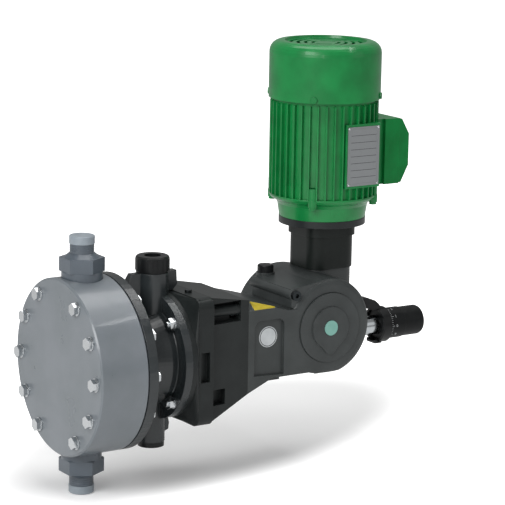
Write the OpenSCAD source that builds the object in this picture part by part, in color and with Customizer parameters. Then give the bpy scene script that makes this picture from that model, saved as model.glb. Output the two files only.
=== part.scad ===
// Motor-driven diaphragm dosing pump with a spring-return plunger drive.
// +X runs from the pump head to the stroke knob, +Z is up, and the origin lies on the
// underside of the feet, straight below the eccentric shaft.

/* [Axes] */
// Height of the plunger axis above the feet
axis_z = 40; // [36:1:46]
// Height of the eccentric shaft above the feet
shaft_z = 60; // [58:1:62]
// Distance from the eccentric shaft to the motor axis, along the pump
motor_x = 36; // [36:0.5:37]
// Sideways distance from the plunger axis to the motor axis
motor_y = 20; // [19:0.5:21]

/* [Pump head] */
// Radius of the pump head
head_r = 104.5; // [102:0.5:110]
// Thickness of the pump head
head_len = 62; // [58:1:70]
// Place of the joint between pump head and hydraulic body
head_back_x = -280; // [-290:1:-274]
// Radius of the circle of head bolts
bolt_circle_r = 90.8; // [89:0.2:92]
// Radius of the head bolt shank
head_bolt_r = 4; // [3:0.5:4]
// Radius of the valve bores through the head
head_passage_r = 7; // [5:0.5:9]

/* [Valves] */
// Radius of the valve body's round foot
valve_foot_r = 24; // [22:0.5:25]
// Width across the flats of the valve hexagon
valve_hex = 46; // [44:1:48]
// Radius of the valve's screwed port
port_r = 14.2; // [13:0.1:15]
// Length of the valve's screwed port
port_len = 11; // [10:0.5:14]
// Radius of the passage through the valve
valve_bore_r = 9; // [8:0.5:9.5]
// Radius of the valve ball
ball_r = 7; // [6:0.25:7.5]
// Lift of the valve ball
ball_lift = 3; // [2:0.5:4]
// Radius of the port cap's head
cap_r = 15; // [14.5:0.1:16]

/* [Diaphragm] */
// Radius of the diaphragm
diaphragm_r = 84; // [80:0.5:85]
// Thickness of the diaphragm
diaphragm_t = 3; // [2:0.5:4]
// Radius of the working chamber
chamber_r = 70; // [60:1:74]

/* [Hydraulic body] */
// Thickness of the large bolted ring flange
ring_t = 12; // [10:1:14]
// Place of the joint between hydraulic body and lantern
lantern_front_x = -205; // [-206:0.5:-204]
// Radius of the rear flange and of the lantern's round pad
pad_r = 76; // [74:0.5:80]
// Thickness of the rear flange
rear_flange_t = 10; // [8:1:12]
// Radius of the circle of the rear flange's studs
stud_circle_r = 67; // [66:0.5:68]
// Radius of the filling boss
boss_r = 19.5; // [18:0.5:22]
// Radius of the drain stub
stub_r = 16.4; // [15:0.2:18]
// Height of the filling boss above the plunger axis
boss_top = 101; // [99:1:106]
// Length of the drain stub below the plunger axis
stub_drop = 104; // [98:1:108]

/* [Lantern] */
// Place of the joint between lantern and gearbox housing
joint_x = -116; // [-117:0.5:-115]
// Half height of the square flange
square_half_z = 77; // [76:0.5:80]
// Half width of the square flange
square_half_y = 67; // [66:0.5:70]
// Thickness of the square flange
square_t = 20; // [16:1:22]
// Depth of the pockets in the lantern's sides
pocket_depth = 17; // [10:1:18]

/* [Gearbox housing] */
// Radius of the round housing
housing_r = 60; // [59:0.5:64]
// Half width of the housing on the near side
housing_half_y = 54; // [53:0.5:58]
// Half width of the housing on the far side
far_half_y = 66; // [62:0.5:70]
// Rounding of the housing's rims
rim_round = 7; // [4:0.5:8]
// Height of the housing's underside above the feet
underside_z = 4; // [2:0.5:5]
// Depth of the label recess in the housing's side
recess_depth = 4; // [2:0.5:5]
// Wall of the housing
housing_wall = 6; // [5:0.5:6.5]
// Radius of the side opening
opening_r = 43; // [42:0.5:44]
// Distance between the feet, along the pump
foot_pitch_x = 72; // [70:1:74]
// Distance between the fixing holes, across the pump
foot_pitch_y = 60; // [56:1:64]
// Half width of a foot bar
foot_half = 10; // [9:0.5:11]
// Radius of the tapped holes in the feet
foot_hole_r = 4; // [3:0.5:5]

/* [Eccentric drive] */
// Eccentricity of the cam, which is half of the stroke
cam_offset = 5; // [3:0.5:5.5]
// Radius of the cam
cam_r = 16; // [15:0.5:17]
// Radius of the eccentric shaft
shaft_r = 10; // [9:0.5:10]
// Teeth of the worm wheel
wheel_teeth = 30; // [30:1:30]
// Pitch radius of the worm wheel
wheel_pitch_r = 27; // [26:0.5:27]
// Face width of the worm wheel
wheel_width = 14; // [12:1:16]

/* [Plunger] */
// Radius of the plunger
plunger_r = 16; // [14:0.5:17]
// Running clearance of the plunger
run_gap = 0.05; // [0.03:0.01:0.08]
// Clearance between still and moving pieces that don't guide each other
free_gap = 0.3; // [0.2:0.05:0.5]

/* [Motor] */
// Half width of the square neck below the motor
neck_half = 32.5; // [32:0.5:34]
// Radius of the adapter plate
adapter_r = 53.4; // [52.5:0.1:55]
// Height of the motor's mounting face
motor_z = 183.5; // [180:0.5:190]
// Radius of the motor frame without its fins
frame_r = 62; // [61:0.5:63]
// Length of the motor frame
frame_len = 118; // [110:1:126]
// Number of cooling fins around the frame
fin_count = 40; // [32:4:48]
// Radius over the cooling fins
fin_r = 66.5; // [65:0.5:67]
// Radius of the fan cover
cover_r = 68.5; // [68:0.5:72]
// Height of the fan cover
cover_len = 69.4; // [64:0.2:76]
// Radius of the motor shaft end
motor_shaft_r = 7; // [6:0.5:7]

/* [Stroke adjuster] */
// Radius of the adjuster stem
stem_r = 12; // [11:0.5:13]
// Radius of the stop pin
pin_r = 5; // [4:0.5:5.5]
// Radius of the knob's scale
scale_r = 19.4; // [18:0.2:20]
// Radius of the knob's grip
grip_r = 18.6; // [17:0.2:19]
// Place of the knob's outer end
knob_end_x = 172; // [168:1:180]
// Wall of the index ring round the knob
index_wall = 2.8; // [2:0.2:4]

/* [Hidden] */
$fn = 72;
eps = 0.01;

head_front_x = head_back_x - head_len;
valve_x = head_back_x - head_len / 2;
spot_z = head_r - 4;
hex_foot_z = head_r + 7;
hex_top_z = hex_foot_z + 16.5;
neck_top_z = hex_top_z + 5;
port_top_z = neck_top_z + port_len;
cap_top_z = port_top_z + 9.5;
seat_z = 76;
suction_seat_z = -112;
// Height of a resting ball's centre, and of its stop, above its seat ring's lower face
ball_rest_z = 2 + ball_r * sqrt(2) - 5 + 0.1;
ball_stop_z = ball_rest_z + ball_r + ball_lift + free_gap;
washer_r = 8;
boss_x = lantern_front_x - 12;
ring_back_x = head_back_x + ring_t;
rear_flange_x = lantern_front_x - rear_flange_t;
square_x = lantern_front_x + 13;
square_back_x = square_x + square_t;
stroke = 2 * cam_offset;
yoke_half_y = 7;
yoke_window_front = cam_r + cam_offset + free_gap;
yoke_window_back = yoke_window_front + 0.7;
yoke_wall = 6;
yoke_back_x = yoke_window_back + yoke_wall;
yoke_front_x = -yoke_window_front - yoke_wall;
plunger_end_x = yoke_front_x - stroke - 3;
collar_t = 4;
rod_r = 8;
pin_tip_x = yoke_back_x + stroke + free_gap;
worm_pitch_r = motor_x - wheel_pitch_r;
wheel_module = 2 * wheel_pitch_r / wheel_teeth;
worm_lead = PI * wheel_module;
worm_half = 15;
box_foot_z = -8.4;
box_top_z = 104;
tie_x = -51;
tie_z = 105;
tie_r = 6.5;
oil_x = -39;
oil_y = 30;
oil_seat_z = 117;
index_r = scale_r + 0.4;
screw_r = 6;
stem_end_x = 140;
knob_front_x = 109;
wheel_y = motor_y;
cavity_half_y = housing_half_y - 8;
cavity_r = housing_r - housing_wall;
neck_z = shaft_z + housing_r + 1;
frame_z = motor_z + 28.5;
frame_top_z = frame_z + frame_len;
cover_z = frame_top_z - 0.3;
cover_top_z = cover_z + cover_len;
core_r = frame_r - 6.5;
bolt_angles = [for (side = [0, 180]) for (a = [-60 : 30 : 60]) side + a];

// A round bar along X at the height of the plunger axis
module along_x(x0, x1, r) {
    translate([x0, 0, axis_z]) rotate([0, 90, 0]) cylinder(h = x1 - x0, r = r);
}

// A round bar along Y through the point x, z
module along_y(x, z, y0, y1, r) {
    translate([x, y0, z]) rotate([-90, 0, 0]) cylinder(h = y1 - y0, r = r);
}

// A body turned about the plunger axis from points of radius and X place
module turned_x(points) {
    translate([0, 0, axis_z]) rotate([0, 90, 0]) rotate_extrude() polygon(points);
}

// A body turned about the motor axis from points of radius and height
module turned_motor(points) {
    translate([motor_x, motor_y, 0]) rotate_extrude() polygon(points);
}

// A body turned about the eccentric shaft's axis from points of radius and Y place
module turned_shaft(points) {
    translate([0, 0, shaft_z]) rotate([-90, 0, 0]) rotate_extrude() polygon(points);
}

// A round bar on the motor axis
module on_motor(z0, z1, r) {
    translate([motor_x, motor_y, z0]) cylinder(h = z1 - z0, r = r);
}

// A hexagon across the given flats
module hexagon(flats, h) {
    cylinder(h = h, r = flats / sqrt(3), $fn = 6);
}

// A square prism with round corners, centred on the motor axis
module neck_prism(z0, z1, half, corner) {
    translate([motor_x, motor_y, z0]) linear_extrude(z1 - z0)
        rounded_rect(half, half, corner);
}

// A rectangle with round corners
module rounded_rect(half_a, half_b, corner) {
    square([2 * half_a, 2 * (half_b - corner)], center = true);
    square([2 * (half_a - corner), 2 * half_b], center = true);
    for (a = [-1, 1], b = [-1, 1])
        translate([a * (half_a - corner), b * (half_b - corner)]) circle(r = corner);
}

// The child copied onto each head bolt
module at_head_bolts() {
    for (a = bolt_angles)
        translate([0, bolt_circle_r * cos(a), axis_z + bolt_circle_r * sin(a)])
            rotate([0, 90, 0]) children();
}

// The child copied onto each stud of the rear flange
module at_body_studs() {
    for (a = [45 : 90 : 315])
        translate([0, stud_circle_r * cos(a), axis_z + stud_circle_r * sin(a)])
            rotate([0, 90, 0]) children();
}

module pump_head() {
    chamfer = 2;
    color("slategray") difference() {
        turned_x([[0, head_front_x], [head_r - chamfer, head_front_x],
            [head_r, head_front_x + chamfer], [head_r, head_back_x - chamfer],
            [head_r - chamfer, head_back_x], [0, head_back_x]]);
        for (side = [0, 180]) translate([valve_x, 0, axis_z]) rotate([side, 0, 0]) {
            translate([0, 0, spot_z]) cylinder(h = 10, r = valve_foot_r + 0.5);
            translate([0, 0, seat_z - 12]) cylinder(h = spot_z - seat_z + 15.5, r = 17.2);
        }
        translate([valve_x, 0, axis_z - seat_z]) cylinder(h = 2 * seat_z, r = head_passage_r);
        along_x(valve_x, head_back_x, 10);
        turned_x([[0, head_back_x - 9], [30, head_back_x - 8.5],
            [chamber_r, head_back_x - diaphragm_t], [chamber_r, head_back_x + 1],
            [0, head_back_x + 1]]);
        along_x(head_back_x - diaphragm_t, head_back_x + 1, diaphragm_r + 0.2);
        translate([head_front_x, 0, 0]) at_head_bolts()
            translate([0, 0, -1]) cylinder(h = head_len + 2, r = head_bolt_r + 0.4);
    }
}

module head_bolts() {
    color("silver") translate([head_front_x, 0, 0]) at_head_bolts() {
        translate([0, 0, -1.6]) cylinder(h = 1.6, r = washer_r);
        translate([0, 0, -7.2]) hexagon(13, 5.7);
        translate([0, 0, -1.6]) cylinder(h = head_len + ring_t + 10, r = head_bolt_r);
    }
}

module head_nuts() {
    color("silver") translate([ring_back_x, 0, 0]) at_head_bolts() difference() {
        union() {
            cylinder(h = 1.2, r = washer_r - 0.5);
            translate([0, 0, 1.2 - eps]) hexagon(13, 5.5);
        }
        translate([0, 0, -1]) cylinder(h = 10, r = head_bolt_r + 0.15);
    }
}

module diaphragm() {
    flange_x = head_back_x - diaphragm_t;
    color("ivory") turned_x([[0, flange_x], [chamber_r - 24, flange_x],
        [chamber_r - 16, flange_x - 1.2], [chamber_r - 8, flange_x], [diaphragm_r, flange_x],
        [diaphragm_r, head_back_x], [chamber_r - 8, head_back_x],
        [chamber_r - 16, head_back_x - 1.2], [chamber_r - 24, head_back_x], [0, head_back_x]]);
}

module support_plate() {
    color("silver") difference() {
        along_x(head_back_x + 1, head_back_x + 5, chamber_r);
        for (ring = [0 : 3], k = [0 : 5 + 6 * ring])
            let (hole_circle_r = 10 + 15 * ring, a = k * 60 / (ring + 1))
            translate([0, hole_circle_r * cos(a), hole_circle_r * sin(a)])
            along_x(head_back_x, head_back_x + 6, 2.5);
    }
}

// One valve body standing on the plane of the plunger axis, port upwards
module valve_body() {
    difference() {
        union() {
            translate([0, 0, seat_z - 2]) cylinder(h = spot_z - seat_z + 3, r = 16.9);
            translate([0, 0, spot_z]) cylinder(h = hex_foot_z - spot_z + eps, r = valve_foot_r);
            translate([0, 0, hex_foot_z]) rotate([0, 0, 30])
                hexagon(valve_hex, hex_top_z - hex_foot_z);
            translate([0, 0, hex_top_z - eps])
                cylinder(h = neck_top_z - hex_top_z, r1 = 21, r2 = port_r + 1);
            translate([0, 0, neck_top_z - 1]) cylinder(h = port_top_z - neck_top_z + 1, r = port_r);
        }
        translate([0, 0, seat_z - 3]) cylinder(h = port_top_z, r = valve_bore_r);
    }
}

// One ball seat ring with its lower face at the origin
module seat_ring() {
    difference() {
        cylinder(h = 5, r = 11.9);
        translate([0, 0, -1]) cylinder(h = 7, r = 5);
        translate([0, 0, 2]) cylinder(h = 3 + eps, r1 = 5, r2 = 8);
    }
}

// One push-in port cap, its stem in the passage and its head on the end of the port
module port_cap() {
    seat_gap = 0.05;
    stem_len = 10;
    edge = 1;
    head_len_z = cap_top_z - port_top_z - seat_gap;
    translate([0, 0, port_top_z - stem_len]) difference() {
        cylinder(h = stem_len + 1, r = valve_bore_r - free_gap);
        translate([0, 0, -1]) cylinder(h = stem_len + 4, r = valve_bore_r - 2);
    }
    translate([0, 0, port_top_z + seat_gap]) difference() {
        union() {
            cylinder(h = head_len_z - edge, r = cap_r);
            translate([0, 0, head_len_z - edge - eps]) cylinder(h = edge, r1 = cap_r, r2 = cap_r - edge);
        }
        translate([0, 0, -1]) cylinder(h = 4, r = valve_bore_r - 2);
    }
}

// A cross that stops the lifted ball, with its underside at the origin
module ball_stop(r) {
    for (a = [0, 90]) rotate([0, 0, a]) translate([-r, -1.5, 0]) cube([2 * r, 3, 3]);
}

module discharge_valve() {
    color("slategray") translate([valve_x, 0, axis_z]) {
        difference() {
            valve_body();
            translate([0, 0, seat_z - 2 - eps]) cylinder(h = 5.2, r = 12);
            translate([0, 0, seat_z + 3]) cylinder(h = 19, r = valve_bore_r + 1);
        }
        translate([0, 0, seat_z - 2 + ball_stop_z]) ball_stop(valve_bore_r + 1.5);
    }
}

module discharge_seat() {
    color("white") translate([valve_x, 0, axis_z + seat_z - 2]) seat_ring();
}

module discharge_ball() {
    color("white") translate([valve_x, 0, axis_z + seat_z - 2 + ball_rest_z]) sphere(r = ball_r);
}

module discharge_cap() {
    color([0.9, 0.93, 0.95]) translate([valve_x, 0, axis_z]) port_cap();
}

module suction_valve() {
    color("slategray") translate([valve_x, 0, axis_z]) {
        difference() {
            rotate([180, 0, 0]) valve_body();
            translate([0, 0, suction_seat_z]) cylinder(h = 60, r = 12);
        }
        translate([0, 0, suction_seat_z + ball_stop_z]) ball_stop(12.5);
    }
}

module suction_seat() {
    color("white") translate([valve_x, 0, axis_z + suction_seat_z]) seat_ring();
}

module suction_ball() {
    color("white") translate([valve_x, 0, axis_z + suction_seat_z + ball_rest_z])
        sphere(r = ball_r);
}

module suction_cap() {
    color([0.9, 0.93, 0.95]) translate([valve_x, 0, axis_z]) rotate([180, 0, 0]) port_cap();
}

module hydraulic_body() {
    neck_r = 46;
    bulge_r = 58;
    color("dimgray") difference() {
        union() {
            turned_x([[0, head_back_x], [head_r, head_back_x], [head_r, ring_back_x],
                [neck_r + 6, ring_back_x], [neck_r, ring_back_x + 6],
                [neck_r + 2, ring_back_x + 20], [bulge_r - 3, rear_flange_x - 14],
                [bulge_r, rear_flange_x - 7], [bulge_r, rear_flange_x],
                [pad_r, rear_flange_x], [pad_r, lantern_front_x], [0, lantern_front_x]]);
            difference() {
                union() {
                    translate([boss_x, 0, axis_z]) cylinder(h = boss_top, r = boss_r);
                    translate([boss_x, 0, axis_z - stub_drop]) cylinder(h = stub_drop, r = stub_r);
                    web();
                }
                translate([lantern_front_x - eps, -40, axis_z - pad_r - 1])
                    cube([40, 80, 2 * pad_r + 2]);
            }
        }
        along_x(ring_back_x - 8, lantern_front_x + 1, plunger_r + 6.3);
        along_x(head_back_x + 5, ring_back_x - 7.5, 40);
        along_x(head_back_x - 1, head_back_x + 5.01, chamber_r + 0.3);
        translate([boss_x, 0, axis_z + 30]) cylinder(h = 90, r = 12.3);
        translate([boss_x, 0, axis_z - 120]) cylinder(h = 90, r = 10.3);
        translate([boss_x, 0, axis_z]) cylinder(h = 60, r = 5);
        translate([head_back_x - 1, 0, 0]) at_head_bolts()
            cylinder(h = ring_t + 2, r = head_bolt_r + 0.4);
        translate([rear_flange_x - 1, 0, 0]) at_body_studs()
            cylinder(h = rear_flange_t + 2, r = 4.4);
    }
}

// The upright web in the middle plane of the hydraulic body
module web() {
    half_t = 5;
    translate([0, half_t, axis_z]) rotate([90, 0, 0]) linear_extrude(2 * half_t) polygon([
        [ring_back_x - 1, 60], [-250, 96], [-247, boss_top], [-187, boss_top], [-186, 84],
        [-198, 70], [-205, 60], [-205, -60], [-198, -72], [-195, -84], [-196, -92], [-205, -96],
        [-240, -96], [ring_back_x - 1, -70]]);
}

module body_nuts() {
    color("silver") translate([rear_flange_x, 0, 0]) at_body_studs() {
        translate([0, 0, -1.4]) cylinder(h = 1.4, r = 7.5);
        translate([0, 0, -8]) hexagon(13, 6.6 + eps);
        translate([0, 0, -11]) cylinder(h = rear_flange_t + 11 + 12, r = 4);
    }
}

module filler_cap() {
    color([0.08, 0.09, 0.09]) translate([boss_x, 0, axis_z]) difference() {
        union() {
            translate([0, 0, boss_top]) cylinder(h = 2, r = 18.4);
            translate([0, 0, boss_top + 2 - eps]) cylinder(h = 16, r = 20);
            translate([0, 0, boss_top + 18 - 2 * eps]) cylinder(h = 1.6, r1 = 20, r2 = 18.4);
            translate([0, 0, boss_top - 14]) cylinder(h = 15, r = 12);
            for (a = [0 : 20 : 340]) rotate([0, 0, a]) translate([19.6, -0.8, boss_top + 3])
                cube([1, 1.6, 13]);
        }
        translate([0, 0, boss_top + 13]) cylinder(h = 10, r = 10);
    }
}

module drain_plug() {
    color([0.08, 0.09, 0.09]) translate([boss_x, 0, axis_z]) rotate([180, 0, 0]) {
        translate([0, 0, stub_drop]) cylinder(h = 6, r = stub_r - 0.6);
        translate([0, 0, stub_drop - 12]) cylinder(h = 12 + eps, r = 10);
    }
}

// The lantern's tapering walls behind its square flange
module lantern_walls() {
    top_z = axis_z + square_half_z - 1;
    bottom_z = axis_z - square_half_z;
    intersection() {
        translate([0, square_half_y + 3, 0]) rotate([90, 0, 0]) linear_extrude(2 * square_half_y + 6)
            polygon([[square_x + 2, bottom_z + 4], [square_back_x, bottom_z + 2], [joint_x, box_foot_z],
                [joint_x, box_top_z + 2], [square_back_x, top_z], [square_x + 2, top_z]]);
        translate([0, 0, bottom_z]) linear_extrude(2 * square_half_z) polygon([
            [square_x + 2, -square_half_y + 5], [joint_x, -housing_half_y],
            [joint_x, housing_half_y], [square_x + 2, square_half_y - 5]]);
    }
}

module lantern() {
    upper_z = 83;
    upper_h = 25;
    floor_y = housing_half_y + 6 - pocket_depth;
    color("dimgray") difference() {
        union() {
            along_x(lantern_front_x, lantern_front_x + 6, pad_r);
            hull() {
                along_x(lantern_front_x + 6 - eps, lantern_front_x + 7, pad_r - 1, $fn = 32);
                translate([square_x, 0, axis_z]) rotate([90, 0, 90]) linear_extrude(1)
                    rounded_rect(square_half_y - 1, square_half_z - 1, 12, $fn = 32);
            }
            translate([square_x, 0, axis_z]) rotate([90, 0, 90]) linear_extrude(square_t)
                rounded_rect(square_half_y, square_half_z, 12);
            lantern_walls();
        }
        for (side = [-1, 1]) {
            translate([square_back_x, side > 0 ? floor_y : -square_half_y - 9, upper_z])
                cube([joint_x - 12 - square_back_x, square_half_y + 9 - floor_y, upper_h]);
            translate([square_back_x, side > 0 ? floor_y + 4 : -square_half_y - 9, -15])
                cube([22, square_half_y + 5 - floor_y, 19]);
            translate([square_x + 3, side * square_half_y - 8, 17]) cube([12, 16, 36]);
        }
        along_x(lantern_front_x - 1, joint_x - 8, 44);
        along_x(joint_x - 9, joint_x + 1, plunger_r + 1);
        translate([lantern_front_x - 1, 0, 0]) at_body_studs() cylinder(h = 14, r = 4.3);
        at_joint_bolts() translate([0, 0, -20]) cylinder(h = 30, r = 4.3);
        at_top_screws() translate([0, 0, -10]) cylinder(h = 30, r = 2.7);
    }
    color("dimgray") for (side = [-1, 1])
        translate([square_back_x - eps, side * (floor_y + 5), upper_z + 13]) rotate([0, 90, 0])
        cylinder(h = joint_x - 12 - square_back_x + 2 * eps, r = 6.5);
}

// The child copied onto each screw between lantern and housing, on the plane of the joint
module at_joint_bolts() {
    for (side = [-1, 1], z = [10, 88])
        translate([joint_x, side * (housing_half_y - 13), z]) rotate([0, 90, 0]) children();
}

// The child copied onto each small screw in the top of the square flange
module at_top_screws() {
    for (side = [-1, 1]) translate([square_x + 10, side * 24, axis_z + square_half_z]) children();
}

module lantern_bolts() {
    color("silver") {
        at_joint_bolts() translate([0, 0, -19]) cylinder(h = 36, r = 4);
        at_top_screws() {
            translate([0, 0, -9]) cylinder(h = 9.5, r = 2.5);
            translate([0, 0, 0.2]) cylinder(h = 3, r = 4.2);
        }
    }
}

module plunger() {
    color("silver") difference() {
        union() {
            along_x(ring_back_x - 6, plunger_end_x, plunger_r);
            along_x(plunger_end_x - collar_t, plunger_end_x, plunger_r + 6);
        }
        along_x(plunger_end_x - 10.1, plunger_end_x + 1, rod_r + 0.05);
    }
}

module plunger_liner() {
    color("burlywood") difference() {
        along_x(ring_back_x - 6, lantern_front_x - 22, plunger_r + 6);
        along_x(ring_back_x - 7, lantern_front_x, plunger_r + run_gap);
    }
}

module packing_gland() {
    color("khaki") difference() {
        union() {
            along_x(lantern_front_x - 22, lantern_front_x, plunger_r + 6);
            along_x(lantern_front_x, lantern_front_x + 10, plunger_r + 12);
        }
        along_x(lantern_front_x - 23, lantern_front_x + 11, plunger_r + run_gap);
    }
}

// Points of one ring of spring wire at the turn t
function wire_ring(mean_r, wire_r, pitch, t, sides) = [for (k = [0 : sides - 1])
    let (a = 360 * k / sides, r = mean_r + wire_r * cos(a))
    [pitch * t + wire_r * sin(a), r * cos(360 * t), r * sin(360 * t)]];

module return_spring() {
    turns = 6;
    steps = 20;
    sides = 6;
    wire_r = 1.7;
    x0 = joint_x + wire_r + 0.3;
    x1 = plunger_end_x - collar_t - wire_r - 0.3;
    rings = [for (i = [0 : turns * steps])
        wire_ring(plunger_r + 4, wire_r, (x1 - x0) / turns, i / steps, sides)];
    points = [for (ring = rings) for (p = ring) p + [x0, 0, axis_z]];
    last = turns * steps * sides;
    faces = concat(
        [[for (k = [0 : sides - 1]) k]],
        [for (i = [0 : turns * steps - 1], k = [0 : sides - 1]) let (n = (k + 1) % sides)
            [i * sides + k, (i + 1) * sides + k, (i + 1) * sides + n, i * sides + n]],
        [[for (k = [sides - 1 : -1 : 0]) last + k]]);
    color("gray") polyhedron(points, faces);
}

module crosshead() {
    half_z = 28;
    color("darkgray") {
        difference() {
            translate([yoke_front_x, -yoke_half_y, shaft_z - half_z])
                cube([yoke_back_x - yoke_front_x, 2 * yoke_half_y, 2 * half_z]);
            translate([-yoke_window_front, -yoke_half_y - 1, shaft_z - half_z + yoke_wall])
                cube([yoke_window_front + yoke_window_back, 2 * yoke_half_y + 2,
                    2 * (half_z - yoke_wall)]);
        }
        along_x(plunger_end_x - 10, yoke_front_x + 1, rod_r);
    }
}

// Outline of the housing's front box, seen from the near side
module box_outline() {
    polygon([[joint_x, box_foot_z], [-81, 7], [0, 7], [0, 86], [-60, 88], [joint_x, box_top_z]]);
}

// The round body of the housing, with rounded rims and a hollow far face
module round_body() {
    rim = [for (a = [0 : 30 : 90]) [sin(a), cos(a)]];
    turned_shaft(concat([[0, -housing_half_y]],
        [for (p = rim) [housing_r - rim_round + rim_round * p[0],
            -housing_half_y + rim_round - rim_round * p[1]]],
        [for (k = [3 : -1 : 0]) [housing_r - rim_round + rim_round * rim[k][0],
            far_half_y - rim_round + rim_round * rim[k][1]]],
        [[46, far_half_y], [44, far_half_y - 8], [26, far_half_y - 8], [24, far_half_y - 2],
            [0, far_half_y - 2]]));
}

// The recess for a round label, with round upper corners, in the near side of the front box
module label_recess() {
    corner = 9;
    left_x = joint_x + 9;
    right_x = joint_x + 51;
    top_z = 79;
    translate([0, -housing_half_y + recess_depth, 0]) rotate([90, 0, 0]) linear_extrude(recess_depth + 1) {
        polygon([[left_x, 12], [right_x, 10], [right_x, top_z - corner], [left_x, top_z - corner]]);
        translate([left_x + corner, top_z - corner - eps]) square([right_x - left_x - 2 * corner, corner]);
        for (x = [left_x + corner, right_x - corner]) translate([x, top_z - corner]) circle(r = corner);
    }
}

module gearbox_housing() {
    hub_r = 27.5;
    color([0.24, 0.25, 0.26]) difference() {
        union() {
            difference() {
                union() {
                    round_body();
                    translate([tie_x - 3, 36, 0]) rotate([90, 0, 0]) linear_extrude(36 + housing_half_y - 2)
                        polygon([[0, tie_z - 16], [-tie_x + 3, 100], [-tie_x + 3, shaft_z + housing_r],
                            [0, tie_z + tie_r]]);
                    along_y(tie_x, tie_z, -housing_half_y, 38, tie_r);
                }
                translate([-housing_r, -housing_half_y - 1, -1])
                    cube([2 * housing_r, housing_half_y + far_half_y + 2, underside_z + 1]);
            }
            intersection() {
                translate([0, housing_half_y, 0]) rotate([90, 0, 0])
                    linear_extrude(2 * housing_half_y) box_outline();
                translate([joint_x - 1, 0, 0]) rotate([90, 0, 90]) linear_extrude(-joint_x + 2) polygon([
                    [-housing_half_y, -20], [housing_half_y, -20], [housing_half_y, 92],
                    [housing_half_y - 12, 104], [-housing_half_y + 12, 104], [-housing_half_y, 92]]);
            }
            for (x = [-foot_pitch_x, 0])
                translate([x - foot_half, -foot_pitch_y / 2 - foot_half, 0])
                cube([2 * foot_half, foot_pitch_y + 2 * foot_half, 14]);
            neck_prism(80, neck_z, neck_half - 2, 16);
            translate([oil_x, oil_y, 98]) cylinder(h = oil_seat_z - 98, r = 11.4);
            along_x(40, housing_r + 4, stem_r + 6);
        }
        difference() {
            union() {
                along_y(0, shaft_z, -cavity_half_y, cavity_half_y, cavity_r);
                along_y(0, shaft_z, -housing_half_y - 1, 0, opening_r);
            }
            along_y(0, shaft_z, 29, cavity_half_y + 1, hub_r);
            translate([motor_x, motor_y, -10]) cylinder(h = 46, r = 13);
            translate([motor_x, motor_y, 98]) cylinder(h = 30, r = 18);
            at_feet() cylinder(h = 17, r = 8);
        }
        along_x(joint_x - 1, 0, plunger_r + 8);
        along_y(0, shaft_z, 30, 44, 23.5);
        along_y(0, shaft_z, 28, 50, shaft_r + 3);
        on_motor(31, 37, 9.5);
        on_motor(29, 37, 7);
        on_motor(90, neck_z + 1, 8);
        on_motor(104, neck_z + 1, 13);
        at_feet() translate([0, 0, -1]) cylinder(h = 13, r = foot_hole_r);
        at_joint_bolts() translate([0, 0, -1]) cylinder(h = 20, r = 4.3);
        along_y(tie_x, tie_z, -housing_half_y - 1, 30, 4.2);
        translate([oil_x, oil_y, oil_seat_z - 12]) cylinder(h = 22, r = 6.2);
        along_x(40, housing_r + 5, stem_r + 0.05);
        label_recess();
    }
}

// The child copied onto each foot's tapped hole
module at_feet() {
    for (x = [-foot_pitch_x, 0], side = [-1, 1]) translate([x, side * foot_pitch_y / 2, 0]) children();
}

module near_cover() {
    face_y = -housing_half_y - 2;
    color([0.26, 0.27, 0.28]) difference() {
        union() {
            along_y(0, shaft_z, face_y, -cavity_half_y, opening_r - 0.3);
            along_y(0, shaft_z, -cavity_half_y - 1, -29, 27.5);
            translate([0, face_y + 1, shaft_z]) rotate([90, 0, 0]) linear_extrude(3) shield_outline();
        }
        along_y(0, shaft_z, -44, -28, 23.5);
        along_y(0, shaft_z, -50, -28, shaft_r + 3);
        along_y(0, shaft_z, face_y - 3, face_y + 2, 9.4);
    }
}

// Outline of the raised bearing cap: round with a blunt point below
module shield_outline() {
    circle(r = 26);
    polygon([[-24.2, -9.5], [-5, -31.6], [5, -31.6], [24.2, -9.5]]);
    translate([0, -26]) circle(r = 7.5);
}

module bearing_plug() {
    color("mediumaquamarine") along_y(0, shaft_z, -housing_half_y - 5, -housing_half_y, 9.2);
}

module oil_plug() {
    color([0.05, 0.06, 0.06]) translate([oil_x, oil_y, oil_seat_z]) {
        cylinder(h = 8, r = 10);
        translate([0, 0, 8 - eps]) cylinder(h = 1.2, r1 = 10, r2 = 8.8);
        translate([0, 0, -11]) cylinder(h = 11 + eps, r = 6);
    }
}

module tie_bolt() {
    color("gray") difference() {
        union() {
            along_y(tie_x, tie_z, -housing_half_y - 5, -housing_half_y, tie_r - 0.5);
            along_y(tie_x, tie_z, -housing_half_y - eps, 28, 4);
        }
        translate([tie_x, -housing_half_y - 2, tie_z]) rotate([90, 0, 0]) hexagon(5, 5);
    }
}

module eccentric_shaft() {
    color("silver") along_y(0, shaft_z, -44, 44, shaft_r);
}

module eccentric_cam() {
    color("gray") difference() {
        along_y(cam_offset, shaft_z, -6, 6, cam_r);
        along_y(0, shaft_z, -9, 9, shaft_r);
    }
}

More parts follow.
